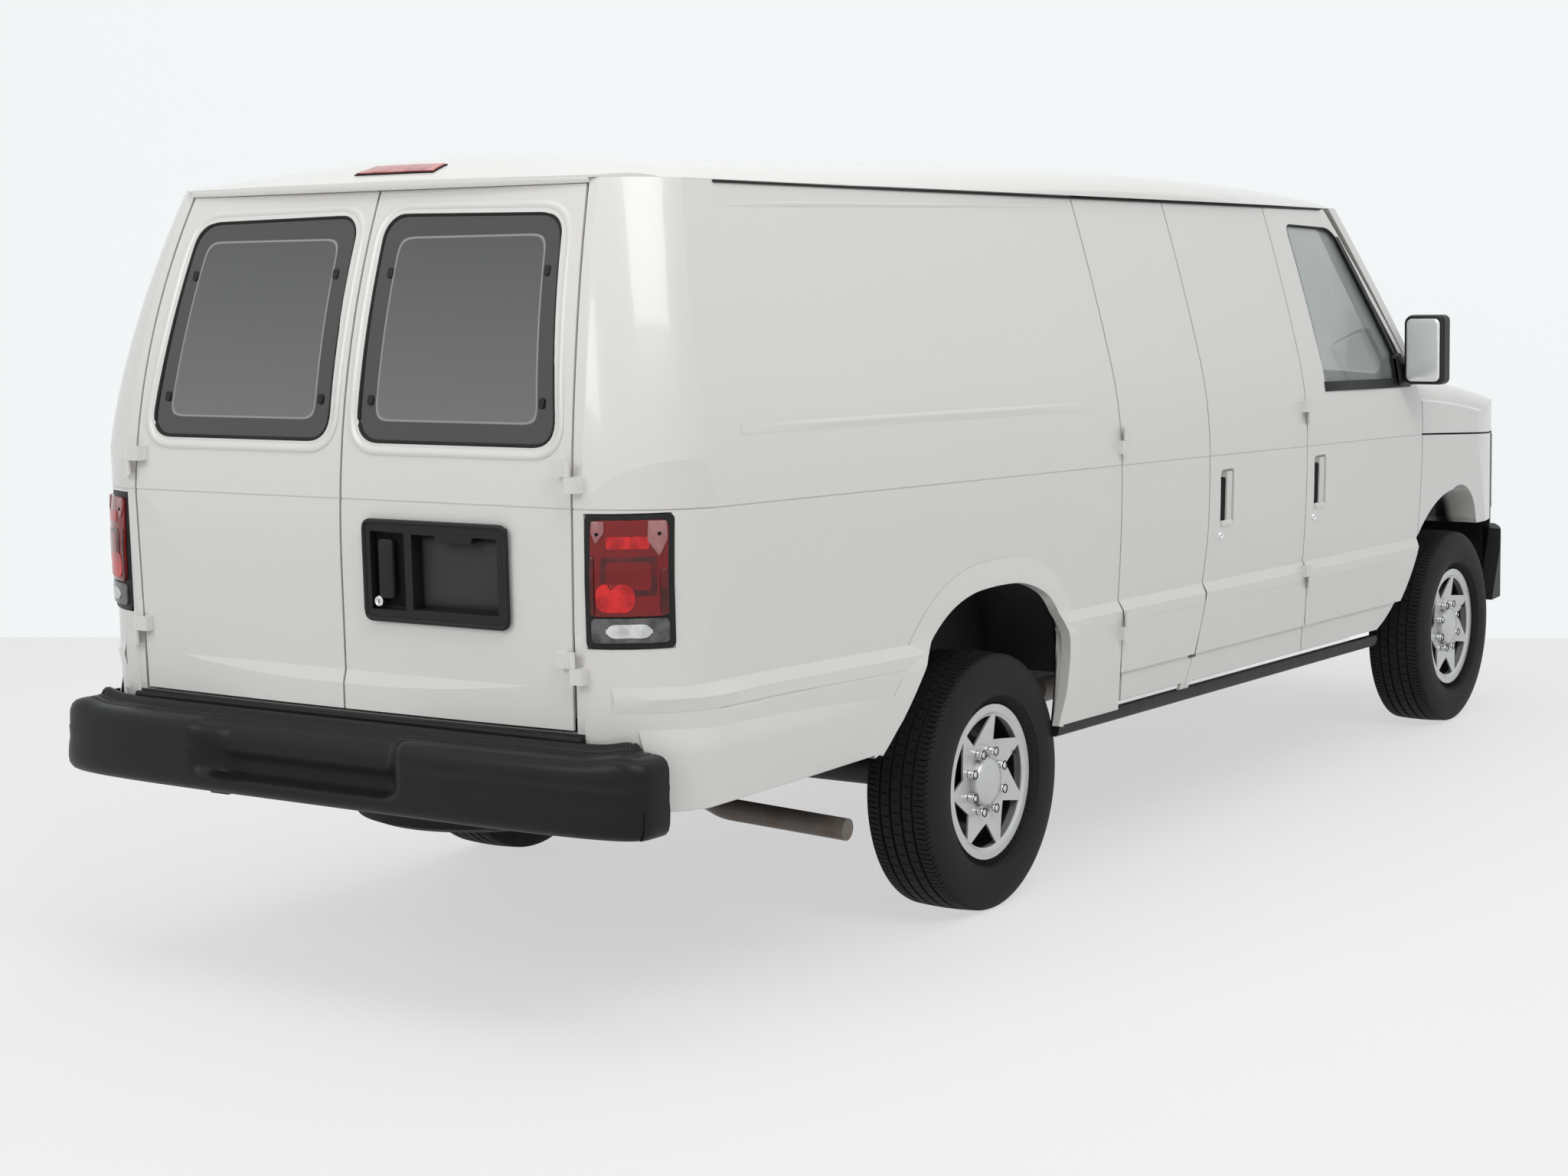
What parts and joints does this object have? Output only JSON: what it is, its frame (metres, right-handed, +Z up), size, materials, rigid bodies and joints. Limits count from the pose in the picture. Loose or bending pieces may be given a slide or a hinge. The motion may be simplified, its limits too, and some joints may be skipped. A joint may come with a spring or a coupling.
{
  "type": "full-size panel van",
  "caption": "Extended full-size panel van with hinged cab, side cargo and rear doors, opening hood, steered front wheels and an empty load space on a separate frame.",
  "frame": {"origin": "on the ground, under the middle of the vehicle's length and width", "axes": "+X forwards, +Y towards the driver's side (left), +Z up"},
  "size_m": [6.012, 2.32, 2.15],
  "materials": {
    "body_paint": "gloss",
    "frame_black": "satin",
    "black_plastic": "satin",
    "trim_plastic": "matte",
    "floor_paint": "satin",
    "bumper_metal": "satin",
    "front_bumper_plastic": "matte",
    "window_glass": "polished",
    "lamp_red": "gloss",
    "lamp_clear": "gloss",
    "cover_silver": "satin",
    "tyre_rubber": "matte",
    "cast_steel": "rough",
    "exhaust_steel": "brushed",
    "seat_cloth": "woven"
  },
  "bodies": {
    "van": {"roof": "body_paint", "side_left": "body_paint", "side_right": "body_paint", "floor": "floor_paint", "wheelhouses": "floor_paint", "cowl": "body_paint", "windscreen": "window_glass", "fenders": "body_paint", "headlamps": "lamp_clear", "grille": "black_plastic", "rear_bumper": "bumper_metal", "front_bumper": "front_bumper_plastic", "chassis": "frame_black", "engine": "cast_steel", "fuel_tank": "black_plastic", "exhaust": "exhaust_steel", "spare_wheel": "tyre_rubber", "rear_axle": "cast_steel", "front_axle": "cast_steel", "seats": "seat_cloth", "dash": "trim_plastic", "steering_wheel": "black_plastic", "tail_lamps": "lamp_red"},
    "hood": {"hood": "body_paint"},
    "front_door_left": {"front_door_left": "body_paint", "door_glass_left": "window_glass", "mirror_left": "black_plastic"},
    "front_door_right": {"front_door_right": "body_paint", "door_glass_right": "window_glass", "mirror_right": "black_plastic"},
    "side_door_front": {"side_door_front": "body_paint"},
    "side_door_rear": {"side_door_rear": "body_paint"},
    "rear_door_left": {"rear_door_left": "body_paint", "rear_glass_left": "window_glass"},
    "rear_door_right": {"rear_door_right": "body_paint", "rear_glass_right": "window_glass", "plate_housing": "black_plastic"},
    "fuel_door": {"fuel_door": "body_paint"},
    "knuckle_left": {"knuckle_left": "cast_steel"},
    "knuckle_right": {"knuckle_right": "cast_steel"},
    "wheel_front_left": {"wheel_front_left": "cover_silver", "tyre_front_left": "tyre_rubber"},
    "wheel_front_right": {"wheel_front_right": "cover_silver", "tyre_front_right": "tyre_rubber"},
    "wheel_rear_left": {"wheel_rear_left": "cover_silver", "tyre_rear_left": "tyre_rubber"},
    "wheel_rear_right": {"wheel_rear_right": "cover_silver", "tyre_rear_right": "tyre_rubber"}
  },
  "joints": [
    {"name": "hood_hinge", "type": "hinge", "parent": "van", "child": "hood", "pos_m": [1.88, 0, 1.375], "axis": [0, -1, 0], "range_deg": [0, 50]},
    {"name": "front_door_right_hinge", "type": "hinge", "parent": "van", "child": "front_door_right", "pos_m": [1.869, -1.004, 1], "axis": [0, 0, 1], "range_deg": [0, 65]},
    {"name": "front_door_left_hinge", "type": "hinge", "parent": "van", "child": "front_door_left", "pos_m": [1.869, 1.004, 1], "axis": [0, 0, -1], "range_deg": [0, 65]},
    {"name": "side_door_front_hinge", "type": "hinge", "parent": "van", "child": "side_door_front", "pos_m": [0.808, -1.017, 1], "axis": [0, 0, 1], "range_deg": [0, 90]},
    {"name": "side_door_rear_hinge", "type": "hinge", "parent": "van", "child": "side_door_rear", "pos_m": [-0.546, -1.017, 1], "axis": [0, 0, -1], "range_deg": [0, 165]},
    {"name": "rear_door_right_hinge", "type": "hinge", "parent": "van", "child": "rear_door_right", "pos_m": [-2.885, -0.752, 1.1], "axis": [0, 0, 1], "range_deg": [0, 165]},
    {"name": "rear_door_left_hinge", "type": "hinge", "parent": "van", "child": "rear_door_left", "pos_m": [-2.885, 0.752, 1.1], "axis": [0, 0, -1], "range_deg": [0, 165]},
    {"name": "fuel_door_hinge", "type": "hinge", "parent": "van", "child": "fuel_door", "pos_m": [-0.251, 0.996, 1.01], "axis": [0, 0, -1], "range_deg": [0, 100]},
    {"name": "steer_left", "type": "hinge", "parent": "van", "child": "knuckle_left", "pos_m": [2.259, 0.7865, 0.372], "axis": [0, 0, 1], "range_deg": [-35, 35]},
    {"name": "steer_right", "type": "hinge", "parent": "van", "child": "knuckle_right", "pos_m": [2.259, -0.7865, 0.372], "axis": [0, 0, 1], "range_deg": [-35, 35]},
    {"name": "front_left_spin", "type": "hinge", "parent": "knuckle_left", "child": "wheel_front_left", "pos_m": [2.259, 0.8815, 0.372], "axis": [0, 1, 0], "continuous": true},
    {"name": "front_right_spin", "type": "hinge", "parent": "knuckle_right", "child": "wheel_front_right", "pos_m": [2.259, -0.8815, 0.372], "axis": [0, 1, 0], "continuous": true},
    {"name": "rear_left_spin", "type": "hinge", "parent": "van", "child": "wheel_rear_left", "pos_m": [-1.246, 0.851, 0.372], "axis": [0, 1, 0], "continuous": true},
    {"name": "rear_right_spin", "type": "hinge", "parent": "van", "child": "wheel_rear_right", "pos_m": [-1.246, -0.851, 0.372], "axis": [0, 1, 0], "continuous": true}
  ],
  "couplings": [
    {"joint": "steer_right", "follows": "steer_left", "ratio": 1}
  ]
}
